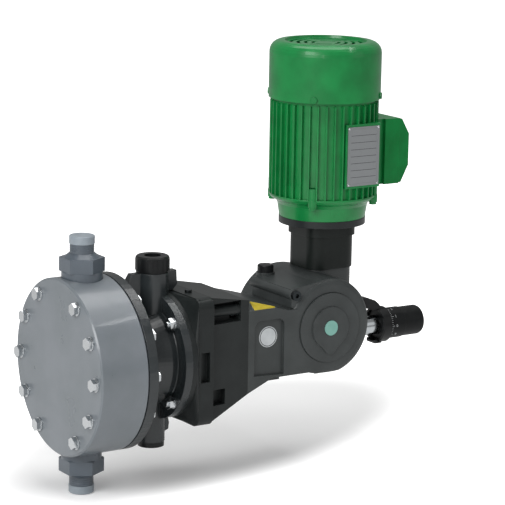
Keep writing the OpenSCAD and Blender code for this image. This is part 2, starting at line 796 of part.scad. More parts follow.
module worm_wheel() {
    root_r = wheel_pitch_r - 1.25 * wheel_module;
    tip_r = wheel_pitch_r + wheel_module * 0.9;
    tooth_half = worm_lead / 4 - 0.35;
    lead_angle = atan(worm_lead / (2 * PI * worm_pitch_r));
    color("goldenrod") difference() {
        union() {
            along_y(0, shaft_z, wheel_y - wheel_width / 2, wheel_y + wheel_width / 2, root_r);
            along_y(0, shaft_z, yoke_half_y + 1.5, wheel_y, 15);
            translate([0, wheel_y, shaft_z]) for (k = [0 : wheel_teeth - 1])
                rotate([0, 360 * k / wheel_teeth, 0]) rotate([-lead_angle, 0, 0])
                    translate([0, wheel_width / 2 - 0.6, 0]) rotate([90, 0, 0])
                    linear_extrude(wheel_width - 1.2) polygon([
                        [root_r - 1.5, -tooth_half - 0.6], [root_r - 1.5, tooth_half + 0.6],
                        [tip_r, tooth_half - 0.75], [tip_r, -tooth_half + 0.75]]);
        }
        along_y(0, shaft_z, 0, 40, shaft_r);
    }
}

module shaft_bearings() {
    color("silver") for (side = [-1, 1]) difference() {
        along_y(0, shaft_z, side > 0 ? 30 : -44, side > 0 ? 44 : -30, 23.4);
        along_y(0, shaft_z, -50, 50, shaft_r + 0.05);
    }
}

// Points of one ring of the worm thread at the turn t
function thread_ring(inner_r, outer_r, root_half, tip_half, lead, t) = [
    for (p = [[inner_r, -root_half], [outer_r, -tip_half], [outer_r, tip_half], [inner_r, root_half]])
        [p[0] * cos(360 * t), p[0] * sin(360 * t), lead * t + p[1]]];

module worm() {
    root_r = worm_pitch_r - 1.2 * wheel_module;
    tip_r = worm_pitch_r + 0.95 * wheel_module;
    turns = 2 * worm_half / worm_lead - 0.6;
    steps = 24;
    count = floor(turns * steps / 2);
    half = worm_lead / 4 - 0.35;
    rings = [for (i = [-count : count])
        thread_ring(root_r - 0.8, tip_r, half + 0.55, half - 0.6, worm_lead, i / steps + 0.5)];
    points = [for (ring = rings) for (p = ring) p];
    last = 8 * count;
    faces = concat([[3, 2, 1, 0]],
        [for (i = [0 : 2 * count - 1], k = [0 : 3]) let (n = (k + 1) % 4)
            [4 * i + k, 4 * i + n, 4 * i + 4 + n, 4 * i + 4 + k]],
        [[last, last + 1, last + 2, last + 3]]);
    color("gray") union() {
        translate([motor_x, motor_y, shaft_z]) polyhedron(points, faces);
        on_motor(shaft_z - worm_half, shaft_z + worm_half, root_r);
        on_motor(30, 142, 5);
    }
}

module worm_bearings() {
    color("silver") {
        difference() {
            on_motor(31, 36, 9.4);
            on_motor(30, 37, 5.05);
        }
        difference() {
            on_motor(104, 112, 12.9);
            on_motor(103, 113, 5.05);
        }
    }
}

module coupling() {
    color("gray") difference() {
        on_motor(124, 166, 17);
        on_motor(123, 142, 5);
        on_motor(150, 167, motor_shaft_r);
    }
}

module motor_neck() {
    plate_z = motor_z - 8.5;
    color([0.16, 0.17, 0.18]) difference() {
        union() {
            neck_prism(neck_z, plate_z - 12, neck_half, 18);
            neck_prism(plate_z - 14, plate_z, neck_half + 2, 18);
        }
        on_motor(neck_z - 1, plate_z + 1, 24);
    }
}

module adapter_plate() {
    color([0.1, 0.11, 0.11]) difference() {
        on_motor(motor_z - 8.5, motor_z, adapter_r);
        on_motor(motor_z - 9, motor_z + 1, 24);
        at_adapter_bolts() cylinder(h = 20, r = 3.4, center = true);
        at_adapter_bolts() translate([0, 0, -9]) cylinder(h = 4.7, r = 5.4);
    }
}

// The child copied onto each bolt between adapter plate and motor
module at_adapter_bolts() {
    for (a = [45 : 90 : 315])
        translate([motor_x + 42.5 * cos(a), motor_y + 42.5 * sin(a), motor_z]) children();
}

module adapter_bolts() {
    color("silver") at_adapter_bolts() {
        translate([0, 0, -8.3]) cylinder(h = 4, r = 5);
        translate([0, 0, -5]) cylinder(h = 12, r = 3);
    }
}

module drive_shield() {
    color("seagreen") difference() {
        union() {
            turned_motor([[0, motor_z], [53, motor_z], [55.5, motor_z + 16],
                [58, motor_z + 20], [64, frame_z - 5], [66, frame_z - 2], [66, frame_z], [0, frame_z]]);
            for (a = [45 : 90 : 315]) translate([motor_x, motor_y, frame_z - 9]) rotate([0, 0, a])
                translate([63, 0, 0]) cylinder(h = 9, r = 5.5);
        }
        on_motor(motor_z - 1, frame_z + 1, 9);
        on_motor(motor_z + 8, frame_z + 1, 17.5);
        on_motor(motor_z + 20, frame_z + 1, core_r);
        translate([0, 0, -1]) at_adapter_bolts() cylinder(h = 11, r = 3.2);
        for (a = [45 : 90 : 315]) translate([motor_x, motor_y, frame_z - 10]) rotate([0, 0, a])
            translate([63, 0, 0]) cylinder(h = 11, r = 2.8);
    }
}

module motor_frame() {
    fin_t = 1.8;
    color("seagreen") difference() {
        union() {
            on_motor(frame_z, frame_top_z, frame_r);
            for (k = [0 : fin_count - 1]) translate([motor_x, motor_y, frame_z])
                rotate([0, 0, 360 * (k + 0.5) / fin_count]) translate([frame_r - 1, -fin_t / 2, 0])
                cube([fin_r - frame_r + 1, fin_t, frame_len - 4]);
            for (a = [45 : 90 : 315]) translate([motor_x, motor_y, frame_z]) rotate([0, 0, a])
                translate([63, 0, 0]) cylinder(h = 14, r = 5);
            translate([motor_x - 12, motor_y - 66, frame_z + 14]) cube([50, 12, 78]);
            translate([motor_x + 50, motor_y - 36, frame_z + 10]) cube([14, 72, 81]);
        }
        on_motor(frame_z - 1, frame_top_z + 1, core_r + 0.05);
        translate([motor_x + 64, motor_y - 41, frame_z - 1]) cube([10, 82, 93]);
        translate([motor_x - 14, motor_y - 76, frame_z + 12]) cube([56, 10, 82]);
        for (a = [45 : 90 : 315]) translate([motor_x, motor_y, frame_z - 1]) rotate([0, 0, a])
            translate([63, 0, 0]) cylinder(h = 16, r = 2.8);
    }
}

module stator_core() {
    color("lightsteelblue") difference() {
        on_motor(frame_z + 24, frame_z + 94, core_r);
        on_motor(frame_z + 23, frame_z + 95, 34);
    }
}

module windings() {
    color("peru") for (z = [frame_z + 10, frame_z + 94]) difference() {
        on_motor(z, z + 14, 51);
        on_motor(z - 1, z + 15, 36);
    }
}

module rotor_core() {
    color("lightsteelblue") difference() {
        on_motor(frame_z + 24, frame_z + 94, 33.4);
        on_motor(frame_z + 23, frame_z + 95, 9);
    }
}

module motor_shaft() {
    bearing_r = 7.5;
    middle_r = 9;
    fan_r = 6;
    color("silver") turned_motor([[0, 150], [motor_shaft_r, 150], [motor_shaft_r, motor_z + 8],
        [bearing_r, motor_z + 8], [bearing_r, motor_z + 19], [middle_r, motor_z + 19],
        [middle_r, frame_top_z - 7], [bearing_r, frame_top_z - 7], [bearing_r, frame_top_z + 4],
        [fan_r, frame_top_z + 4], [fan_r, frame_top_z + 40], [0, frame_top_z + 40]]);
}

module motor_bearings() {
    color("silver") for (z = [motor_z + 8, frame_top_z - 7]) difference() {
        on_motor(z, z + 11, 17.4);
        on_motor(z - 1, z + 12, 7.55);
    }
}

module rear_shield() {
    color("seagreen") difference() {
        union() {
            on_motor(frame_top_z, frame_top_z + 8, cover_r - 2.2);
            on_motor(frame_top_z - 9, frame_top_z + 1, 24);
        }
        on_motor(frame_top_z - 10, frame_top_z + 4, 17.5);
        on_motor(frame_top_z - 10, frame_top_z + 9, 8);
        for (a = [0 : 90 : 270]) translate([motor_x, motor_y, frame_top_z + 4]) rotate([0, 0, a + 45])
            translate([cover_r - 10, 0, 0]) rotate([0, 90, 0]) cylinder(h = 12, r = 2.1);
    }
}

module fan() {
    color([0.15, 0.15, 0.16]) difference() {
        union() {
            on_motor(frame_top_z + 16, frame_top_z + 38, 12);
            on_motor(frame_top_z + 16, frame_top_z + 19, 50);
            for (a = [15 : 60 : 315]) translate([motor_x, motor_y, frame_top_z + 18]) rotate([0, 0, a])
                translate([10, -1, 0]) cube([37, 2, 17]);
        }
        on_motor(frame_top_z + 15, frame_top_z + 39, 6);
    }
}

module fan_cover() {
    wall = 1.8;
    round = 14;
    top = cover_top_z;
    color("seagreen") difference() {
        turned_motor(concat([[cover_r - wall, cover_z], [cover_r, cover_z]],
            [for (a = [0 : 15 : 90]) [cover_r - round + round * cos(a), top - round + round * sin(a)]],
            [[50, top], [49, top - 3], [0, top - 3], [0, top - 3 - wall], [50, top - 3 - wall],
                [51, top - wall]],
            [for (a = [90 : -15 : 0])
                [cover_r - round + (round - wall) * cos(a), top - round + (round - wall) * sin(a)]]));
        for (ring = [0 : 3], k = [0 : 3]) translate([motor_x, motor_y, top - 6]) rotate([0, 0, 90 * k + 8])
            rotate_extrude(angle = 74) translate([14 + 9 * ring, 0]) square([4, 5]);
        for (a = [0 : 90 : 270]) translate([motor_x, motor_y, frame_top_z + 4]) rotate([0, 0, a + 45])
            translate([cover_r - 10, 0, 0]) rotate([0, 90, 0]) cylinder(h = 12, r = 2.3);
    }
}

module motor_screws() {
    color("silver") {
        for (a = [45 : 90 : 315]) translate([motor_x, motor_y, frame_top_z + 4]) rotate([0, 0, a]) {
            translate([cover_r - 9.5, 0, 0]) rotate([0, 90, 0]) cylinder(h = 9.5, r = 2);
            translate([cover_r, 0, 0]) rotate([0, 90, 0]) cylinder(h = 2, r = 4);
        }
        for (a = [45 : 90 : 315]) translate([motor_x, motor_y, frame_z]) rotate([0, 0, a])
            translate([63, 0, -12]) {
            cylinder(h = 3, r = 4.4);
            translate([0, 0, 3 - eps]) cylinder(h = 20, r = 2.5);
        }
    }
}

module terminal_box() {
    x0 = motor_x + 64;
    z0 = frame_z + 10;
    color("seagreen") difference() {
        translate([x0, motor_y - 40, z0]) cube([22, 80, 81]);
        translate([x0 + 4, motor_y - 36, z0 + 4]) cube([20, 72, 73]);
        for (side = [-1, 1]) translate([x0 + 11, motor_y + side * 18, z0 - 1]) cylinder(h = 6, r = 10);
    }
}

module terminal_lid() {
    x0 = motor_x + 86;
    z0 = frame_z + 10;
    depth = 14;
    color("seagreen") difference() {
        translate([0, motor_y + 40, 0]) rotate([90, 0, 0]) linear_extrude(80) polygon([
            [x0, z0 + 1], [x0, z0 + 80], [x0 + 3, z0 + 80], [x0 + depth, z0 + 61],
            [x0 + depth, z0 + 22], [x0 + 3, z0 + 1]]);
        translate([x0 - 1, motor_y - 34, z0 + 14]) cube([10, 68, 54]);
    }
}

module terminal_block() {
    x0 = motor_x + 68;
    z0 = frame_z + 30;
    color("beige") translate([x0, motor_y - 20, z0]) cube([8, 40, 36]);
    color("gold") for (row = [0, 1], k = [-1 : 1])
        translate([x0 + 8 - eps, motor_y + 12 * k, z0 + 9 + 18 * row]) rotate([0, 90, 0]) {
            cylinder(h = 7, r = 2);
            hexagon(7, 3);
        }
}

module cable_plug() {
    x0 = motor_x + 75;
    z0 = frame_z + 10;
    color([0.1, 0.1, 0.1]) translate([x0, motor_y + 18, z0]) {
        translate([0, 0, -3]) cylinder(h = 3, r = 10.9);
        translate([0, 0, -eps]) cylinder(h = 5, r = 9.8);
    }
}

module nameplate() {
    color("lightgray") translate([motor_x - 10, motor_y - 67, frame_z + 17]) cube([46, 1, 72]);
}

module adjuster_stem() {
    color("silver") difference() {
        union() {
            along_x(50, stem_end_x, stem_r);
            along_x(housing_r + 4, housing_r + 8, stem_r + 4);
        }
        along_x(49, 84, pin_r + run_gap);
        along_x(83.5, stem_end_x + 1, screw_r + free_gap);
    }
}

module stop_pin() {
    color("dimgray") along_x(pin_tip_x, 96, pin_r);
}

module adjuster_screw() {
    color("gray") along_x(96.3, knob_end_x - 9, screw_r);
}

module knob() {
    edge = 4;
    color([0.09, 0.09, 0.1]) difference() {
        union() {
            along_x(knob_front_x, knob_front_x + 8, scale_r - 0.6);
            along_x(knob_front_x + 8 - eps, knob_front_x + 32, scale_r);
            along_x(knob_front_x + 32 - eps, knob_end_x - edge, grip_r);
            turned_x([[0, knob_end_x - edge - eps], [grip_r, knob_end_x - edge - eps],
                [grip_r - 1.2, knob_end_x - 1.4], [grip_r - edge, knob_end_x], [0, knob_end_x]]);
        }
        along_x(knob_front_x - 1, stem_end_x + stroke + 2, stem_r + free_gap);
        along_x(stem_end_x + stroke + 1, knob_end_x - 9, screw_r);
    }
}

module index_arm() {
    ring_x = knob_front_x - 3;
    ring_len = 12;
    bottom_z = axis_z + index_r - 0.2;
    color([0.1, 0.1, 0.11]) {
        difference() {
            union() {
                translate([0, 7, 0]) rotate([90, 0, 0]) linear_extrude(14) polygon([
                    [50, 68], [88, 64], [ring_x - 6, bottom_z], [ring_x + ring_len, bottom_z],
                    [ring_x + ring_len, bottom_z + index_wall - 0.4], [ring_x + 4, bottom_z + 4],
                    [ring_x + 1, 68], [ring_x - 5, 73], [ring_x - 14, 76.5],
                    [ring_x - 26, 78.5], [50, 79.6]]);
                along_x(ring_x, ring_x + ring_len, index_r + index_wall);
                translate([ring_x - 5, -9, axis_z - index_r - index_wall + 0.4]) cube([10, 18, 5]);
            }
            along_x(ring_x - 8, ring_x + ring_len + 1, index_r);
            along_y(0, shaft_z, -30, 30, housing_r + 0.02);
            along_x(40, housing_r + 4.02, stem_r + 6.02);
        }
    }
}

pump_head();
head_bolts();
head_nuts();
diaphragm();
support_plate();
discharge_valve();
discharge_seat();
discharge_ball();
discharge_cap();
suction_valve();
suction_seat();
suction_ball();
suction_cap();
hydraulic_body();
body_nuts();
filler_cap();
drain_plug();
lantern();
lantern_bolts();
plunger();
plunger_liner();
packing_gland();
return_spring();
crosshead();
gearbox_housing();
near_cover();
bearing_plug();
oil_plug();
tie_bolt();
eccentric_shaft();
eccentric_cam();
worm_wheel();
shaft_bearings();
worm();
worm_bearings();
coupling();
motor_neck();
adapter_plate();
adapter_bolts();
drive_shield();
motor_frame();
stator_core();
windings();
rotor_core();
motor_shaft();
motor_bearings();
rear_shield();
fan();
fan_cover();
motor_screws();
terminal_box();
terminal_lid();
terminal_block();
cable_plug();
nameplate();
adjuster_stem();
stop_pin();
adjuster_screw();
knob();
index_arm();
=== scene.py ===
# %% [markdown]
# # A motor-driven dosing pump
# This notebook dresses a dosing pump whose pieces come from a CAD model. The frame brings every
# piece at its true place and size, in metres. The work here is the finish of each surface, and the
# small forms that a drawing leaves out, such as threads, scale marks and stickers.

# %% Load the frame
import math

import bmesh
import bpy
from mathutils import Matrix, Vector


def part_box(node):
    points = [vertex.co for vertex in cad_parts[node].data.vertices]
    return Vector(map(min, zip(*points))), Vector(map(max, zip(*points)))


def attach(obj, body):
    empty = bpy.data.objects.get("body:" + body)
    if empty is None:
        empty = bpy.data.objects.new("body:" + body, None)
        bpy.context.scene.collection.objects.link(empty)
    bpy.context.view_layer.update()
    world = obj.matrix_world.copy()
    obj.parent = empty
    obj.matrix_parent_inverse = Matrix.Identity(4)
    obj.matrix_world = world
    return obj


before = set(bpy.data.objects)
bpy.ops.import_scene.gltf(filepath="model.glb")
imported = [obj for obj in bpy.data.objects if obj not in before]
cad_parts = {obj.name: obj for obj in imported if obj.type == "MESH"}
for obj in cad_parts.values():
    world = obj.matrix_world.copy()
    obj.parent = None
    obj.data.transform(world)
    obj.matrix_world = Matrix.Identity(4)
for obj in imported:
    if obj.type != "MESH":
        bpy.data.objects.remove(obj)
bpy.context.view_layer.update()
MM = 0.001

# %% [markdown]
# ## Reference points
# Sizes that are used again and again are read from the frame once, so that a piece made here sits
# on the CAD piece that carries it. X runs along the plunger towards the knob, and Z is up.

# %% Reference points
head_low, head_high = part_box("pump_head")
cap_low, cap_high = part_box("suction_cap")
body_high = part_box("hydraulic_body")[1]
port_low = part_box("suction_valve")[0][2]
port_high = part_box("discharge_valve")[1][2]
plate_low, plate_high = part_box("nameplate")
lid_low, lid_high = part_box("terminal_lid")
axis_z = (head_low[2] + head_high[2]) / 2
valve_x = (cap_low[0] + cap_high[0]) / 2
print("plunger axis at z =", round(axis_z, 4), "and valves at x =", round(valve_x, 4))

# %% [markdown]
# ## Colours and nodes
# Colours are written as sRGB hex values, as a paint chart gives them, and one function turns them
# to the linear values that shaders need. Another adds one shader node with its settings and links.

# %% Helpers for materials
def linear(hex_code):
    """The linear RGBA of an sRGB hex colour such as "#1c7a3c"."""
    parts = [int(hex_code[i:i + 2], 16) / 255 for i in (1, 3, 5)]
    red, green, blue = (c / 12.92 if c <= 0.04045 else ((c + 0.055) / 1.055) ** 2.4 for c in parts)
    return red, green, blue, 1.0


def add(tree, kind, inputs=None, **settings):
    """One new node: settings are its properties, and inputs are values or sockets to link."""
    new = tree.nodes.new("ShaderNode" + kind)
    for name, value in settings.items():
        setattr(new, name, value)
    for name, value in (inputs or {}).items():
        if isinstance(value, bpy.types.NodeSocket):
            tree.links.new(value, new.inputs[name])
        else:
            new.inputs[name].default_value = value
    return new


def blank_material(name, shine=0.5):
    """An empty node material, with its tree, a shader and object coordinates."""
    made = bpy.data.materials.new(name)
    made.use_nodes = True
    tree = made.node_tree
    tree.nodes.clear()
    shader = add(tree, "BsdfPrincipled", {"Specular IOR Level": shine})
    add(tree, "OutputMaterial", {"Surface": shader.outputs["BSDF"]})
    place = add(tree, "TexCoord").outputs["Object"]
    return made, tree, shader, place


def two_tones(tree, factor, dark, light, low=0.35, high=0.65):
    """A colour that runs from dark to light as the factor goes from low to high."""
    ramp = add(tree, "ValToRGB", {"Fac": factor})
    ramp.color_ramp.elements[0].position = low
    ramp.color_ramp.elements[0].color = linear(dark)
    ramp.color_ramp.elements[1].position = high
    ramp.color_ramp.elements[1].color = linear(light)
    return ramp.outputs["Color"]


def per_mm(size):
    """The texture scale at which one cell is this many millimetres."""
    return 1 / (size * MM)


def rough_skin(tree, shader, height, depth_mm, strength, edge_mm=0.5):
    """Gives a shader a bumpy skin of this depth, with edges that look rounded by edge_mm."""
    edge = add(tree, "Bevel", {"Radius": edge_mm * MM}, samples=4)
    bump = add(tree, "Bump", {"Height": height, "Strength": strength, "Distance": depth_mm * MM,
                              "Normal": edge.outputs["Normal"]})
    tree.links.new(bump.outputs["Normal"], shader.inputs["Normal"])


print("white is", linear("#ffffff"), "and a cell of 1 mm needs the scale", per_mm(1))

# %% [markdown]
# ## Machined PVC
# The head is turned from grey PVC, and the valves are moulded from it. PVC is a dull, slightly soft
# looking plastic, and the lathe leaves fine rings round the axis. The real rings are about 0.2 mm
# apart, too fine to show, so they are drawn 8.8 mm apart and very shallow. A wave node counts 20
# radians to the unit, which is why its scale holds a full turn over 20.

# %% Machined PVC
CLOUD_MM, RING_MM, GRAIN_MM = 45, 8.8, 0.9
PVC_IOR = 1.53


def machined_pvc(name, dark, light):
    """Grey PVC: dull, with shallow lathe rings and a thin sheen that shows a lamp's sharp edge."""
    made, tree, shader, place = blank_material(name)
    cloud = add(tree, "TexNoise", {"Vector": place, "Scale": per_mm(CLOUD_MM), "Detail": 4.0})
    centred = add(tree, "Mapping", {"Vector": place, "Location": (0, 0, -axis_z)})
    rings = add(tree, "TexWave", {"Vector": centred.outputs["Vector"], "Distortion": 0.4,
                                  "Scale": per_mm(RING_MM) * math.tau / 20},
                wave_type="RINGS", rings_direction="X")
    grain = add(tree, "TexNoise", {"Vector": place, "Scale": per_mm(GRAIN_MM), "Detail": 2.0})
    height = add(tree, "Mix", {"Factor": 0.5, "A": rings.outputs["Fac"], "B": grain.outputs["Fac"]})
    rough_skin(tree, shader, height.outputs[0], depth_mm=0.03, strength=0.035)
    colour = two_tones(tree, cloud.outputs["Fac"], dark, light)
    tree.links.new(colour, shader.inputs["Base Color"])
    rough = add(tree, "MapRange", {"Value": cloud.outputs["Fac"], "To Min": 0.26, "To Max": 0.3})
    tree.links.new(rough.outputs["Result"], shader.inputs["Roughness"])
    shader.inputs["IOR"].default_value = PVC_IOR
    shader.inputs["Coat Weight"].default_value = 0.22
    shader.inputs["Coat Roughness"].default_value = 0.06
    return made


# The turned head is a mid grey with a cool cast.
pvc_head = machined_pvc("machined_grey_pvc", "#70777c", "#797f85")
# The moulded valves are a darker, bluer grey.
pvc_valve = machined_pvc("moulded_grey_pvc", "#4e5760", "#59626b")
print("PVC finishes:", pvc_head.name, pvc_valve.name)

# %% [markdown]
# ## Painted castings
# The lantern, the gearbox and the neck are castings under a dark grey paint. The sand leaves a
# grain of about a millimetre that the paint softens, and the paint is satin, a little uneven in
# gloss. The hydraulic body is a glass-filled plastic whose skin has the same fine grain, so it
# shares the node tree, with a smoother surface.

# %% Painted casting
def painted_casting(name, dark, light, grain_mm=1.3, rough_low=0.34, rough_high=0.44, shine=0.45,
                    cloud_mm=30):
    """Satin paint over a sand casting: soft pits, and a sheen that comes and goes."""
    made, tree, shader, place = blank_material(name, shine)
    cloud = add(tree, "TexNoise", {"Vector": place, "Scale": per_mm(cloud_mm), "Detail": 5.0})
    grain = add(tree, "TexNoise", {"Vector": place, "Scale": per_mm(grain_mm), "Detail": 3.0})
    pits = add(tree, "TexVoronoi", {"Vector": place, "Scale": per_mm(grain_mm * 2)})
    height = add(tree, "Mix", {"Factor": 0.3, "A": grain.outputs["Fac"],
                               "B": pits.outputs["Distance"]})
    rough_skin(tree, shader, height.outputs[0], depth_mm=0.12, strength=0.35, edge_mm=1.0)
    colour = two_tones(tree, cloud.outputs["Fac"], dark, light)
    rough = add(tree, "MapRange", {"Value": cloud.outputs["Fac"], "To Min": rough_low,
                                   "To Max": rough_high})
    tree.links.new(colour, shader.inputs["Base Color"])
    tree.links.new(rough.outputs["Result"], shader.inputs["Roughness"])
    return made


# The gearbox paint is charcoal, and looks a shade lighter where the light grazes its grain.
casting = painted_casting("satin_painted_casting", "#373b3b", "#404444")
# The lantern wears the same paint, darker and duller.
lantern_paint = painted_casting("dark_painted_lantern", "#1d2121", "#252929", 1.4, shine=0.3)
# The glass-filled plastic is smooth, so it shows crisp soft lines on its ridge and rims.
body_plastic = painted_casting("glass_filled_plastic", "#252a2c", "#2e3335", 0.8, 0.2, 0.3, 0.6)
# The neck's paint is nearly black with a green cast, and hardly shines.
neck_paint = painted_casting("dark_painted_neck", "#151a18", "#1c211f", 0.9, 0.28, 0.4, 0.25)
# The adapter plate is black, with a satin rim.
plate_paint = painted_casting("black_painted_plate", "#171b1c", "#1f2425", 0.9, 0.3, 0.4)
dark_finishes = (casting, lantern_paint, body_plastic, neck_paint, plate_paint)
print("dark finishes:", [finish.name for finish in dark_finishes])

# %% [markdown]
# ## Enamel on the motor
# The motor has a glossy green enamel. Sprayed enamel is never quite flat: it has a fine orange
# peel, here with cells of 2.5 mm, and it pools a little darker where it is thick.

# %% Green enamel
def enamel(name, dark, light, shine=0.4, coat=0.2, cloud_mm=28, peel_mm=2.5):
    """Sprayed enamel: a strong colour under a clear gloss with a fine orange peel."""
    made, tree, shader, place = blank_material(name, shine)
    cloud = add(tree, "TexNoise", {"Vector": place, "Scale": per_mm(cloud_mm), "Detail": 3.0})
    peel = add(tree, "TexNoise", {"Vector": place, "Scale": per_mm(peel_mm), "Detail": 2.0})
    rough_skin(tree, shader, peel.outputs["Fac"], depth_mm=0.1, strength=0.25, edge_mm=0.6)
    colour = two_tones(tree, cloud.outputs["Fac"], dark, light)
    tree.links.new(colour, shader.inputs["Base Color"])
    shader.inputs["Roughness"].default_value = 0.28
    shader.inputs["Coat Weight"].default_value = coat
    shader.inputs["Coat Roughness"].default_value = 0.08
    return made


# The motor's green is bright, with wide soft highlights.
green_enamel = enamel("glossy_green_enamel", "#0d7a3b", "#128a44")
# The terminal box has the same green with less gloss, so it looks deeper.
box_enamel = enamel("deeper_green_enamel", "#087837", "#0b8640", 0.2, 0.08)
print("enamels:", green_enamel.name, box_enamel.name)

# %% [markdown]
# ## Metals
# Fasteners are stainless steel, the stem is bright plated steel, and the inner pieces are ground
# steel, bronze and copper. A metal's colour is its reflection, so only colour, roughness and a
# fine grain change between them.

# %% Metals
def metal(name, tone, rough_low, rough_high, grain_mm=0.6, strength=0.15, cloud_mm=6):
    """A bare metal of this colour, whose roughness wanders between two values."""
    made, tree, shader, place = blank_material(name)
    cloud = add(tree, "TexNoise", {"Vector": place, "Scale": per_mm(cloud_mm), "Detail": 4.0})
    grain = add(tree, "TexNoise", {"Vector": place, "Scale": per_mm(grain_mm), "Detail": 2.0})
    rough_skin(tree, shader, grain.outputs["Fac"], 0.04, strength, edge_mm=0.25)
    rough = add(tree, "MapRange", {"Value": cloud.outputs["Fac"], "To Min": rough_low,
                                   "To Max": rough_high})
    tree.links.new(rough.outputs["Result"], shader.inputs["Roughness"])
    shader.inputs["Base Color"].default_value = linear(tone)
    shader.inputs["Metallic"].default_value = 1.0
    return made


# Stainless screws are bright and a little warm, and flash at their edges.
stainless = metal("stainless_steel", "#cfd2d4", 0.14, 0.26)
# Ground steel is a duller, bluish grey.
ground_steel = metal("ground_steel", "#b9bcc0", 0.2, 0.36)
# The plated stem mirrors the room almost sharply.
bright_steel = metal("bright_plated_steel", "#c6cbce", 0.12, 0.24)
# Blackened screws are dark, with a broad sheen.
blackened_steel = metal("blackened_steel", "#3c4042", 0.3, 0.45)
# Bronze is a warm brownish yellow.
bronze = metal("phosphor_bronze", "#c39a5c", 0.25, 0.4)
# Copper wire under varnish is reddish, in fine strands.
copper = metal("enamelled_copper", "#b8683c", 0.3, 0.45, 1.2, 0.6)
# Stacked sheets of steel look grey and finely striped.
lamination = metal("stacked_laminations", "#8f9499", 0.35, 0.5, 0.8, 0.4)
# The plate's etched aluminium is pale and has no clear reflection.
plate_metal = metal("satin_aluminium", "#a5a8aa", 0.42, 0.55)
metals = (stainless, ground_steel, bright_steel, blackened_steel, bronze, copper, lamination,
          plate_metal)
print("metals:", [finish.name for finish in metals])

# %% [markdown]
# ## Plain plastics
# The knob, caps and plugs are moulded: smooth, with a faint texture from the mould. The port caps
# are thin polyethylene, which lets some light through and looks like pale ice.

# %% Plain plastics
def moulded(name, dark, light, rough=0.35, grain_mm=0.7, strength=0.2, shine=0.3, cloud_mm=12):
    """A moulded plastic: an even colour, with the faint grain of its mould."""
    made, tree, shader, place = blank_material(name, shine)
    cloud = add(tree, "TexNoise", {"Vector": place, "Scale": per_mm(cloud_mm), "Detail": 3.0})
    grain = add(tree, "TexNoise", {"Vector": place, "Scale": per_mm(grain_mm), "Detail": 2.0})
    rough_skin(tree, shader, grain.outputs["Fac"], 0.05, strength, edge_mm=0.4)
    colour = two_tones(tree, cloud.outputs["Fac"], dark, light)
    tree.links.new(colour, shader.inputs["Base Color"])
    shader.inputs["Roughness"].default_value = rough
    return made


def pale_polyethylene(name):
    """Thin polyethylene: light enters, spreads inside and leaves it pale and icy."""
    made = moulded(name, "#a1abb4", "#aeb8c0", 0.3, shine=0.4)
    shader = next(n for n in made.node_tree.nodes if n.type == "BSDF_PRINCIPLED")
    shader.inputs["Transmission Weight"].default_value = 0.25
    shader.inputs["Subsurface Weight"].default_value = 0.3
    shader.inputs["Subsurface Radius"].default_value = (2 * MM, 2 * MM, 2 * MM)
    return made


# Black polyamide caps and plugs have a soft sheen on their rims.
black_plastic = moulded("black_moulded_plastic", "#101112", "#1a1c1d")
# The knob's plastic is a touch duller, so that its print reads.
knob_plastic = moulded("black_knob_plastic", "#101213", "#17191a", 0.42, shine=0.2)
port_plastic = pale_polyethylene("pale_polyethylene")
# Solid fluoropolymer is a waxy, slightly warm white.
ptfe = moulded("white_ptfe", "#e4e4df", "#f0f0ec", 0.45)
# Plaited packing is a matt, greasy straw colour.
packing = moulded("packing_cord", "#8f8468", "#a39878", 0.7, 1.5, 0.6)
# The terminal block's thermoset is a plain cream.
thermoset = moulded("cream_thermoset", "#cfc8ae", "#ddd6bc", 0.5)
# The plug in the side cover is a pale teal, the one cool accent on the dark box.
teal_plastic = moulded("teal_moulded_plug", "#7eb5a8", "#8bbeb2")
# Printing ink lies thin and matt.
white_print = moulded("white_printing_ink", "#c9ccce", "#d6d9da", 0.5)
plastics = (black_plastic, knob_plastic, port_plastic, ptfe, packing, thermoset, teal_plastic,
            white_print)
print("plastics:", [finish.name for finish in plastics])

# %% [markdown]
# ## Finishes on the CAD pieces
# Each CAD piece keeps its shape and gets a finish. A real piece has no razor edges, so every finish
# holds a bevel node, which bends the light at an edge as a small radius would.

# %% Dress the CAD pieces
FINISH = {
    pvc_head: ["pump_head"],
    pvc_valve: ["discharge_valve", "suction_valve"],
    casting: ["gearbox_housing", "near_cover"],
    lantern_paint: ["lantern"],
    body_plastic: ["hydraulic_body"],
    neck_paint: ["motor_neck"],
    plate_paint: ["adapter_plate"],
    green_enamel: ["drive_shield", "motor_frame", "rear_shield", "fan_cover", "motor_screws"],
    box_enamel: ["terminal_box", "terminal_lid"],
    stainless: ["head_bolts", "head_nuts", "body_nuts", "adapter_bolts"],
    blackened_steel: ["lantern_bolts", "tie_bolt"],
    ground_steel: ["plunger", "crosshead", "return_spring", "eccentric_shaft", "eccentric_cam",
                   "shaft_bearings", "worm", "worm_bearings", "coupling", "motor_shaft",
                   "motor_bearings", "stop_pin", "adjuster_screw", "support_plate"],
    bright_steel: ["adjuster_stem"],
    bronze: ["worm_wheel", "plunger_liner"],
    copper: ["windings"],
    lamination: ["stator_core", "rotor_core"],
    plate_metal: ["nameplate"],
    black_plastic: ["filler_cap", "drain_plug", "oil_plug", "cable_plug", "index_arm", "fan"],
    knob_plastic: ["knob"],
    port_plastic: ["discharge_cap", "suction_cap"],
    ptfe: ["diaphragm", "discharge_seat", "suction_seat", "discharge_ball", "suction_ball"],
    packing: ["packing_gland"],
    thermoset: ["terminal_block"],
    teal_plastic: ["bearing_plug"],
}
for finish, names in FINISH.items():
    for name in names:
        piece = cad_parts[name]
        if piece.material_slots:
            for slot in piece.material_slots:
                slot.material = finish
        else:
            piece.data.materials.append(finish)
print("dressed", sum(len(names) for names in FINISH.values()), "pieces")

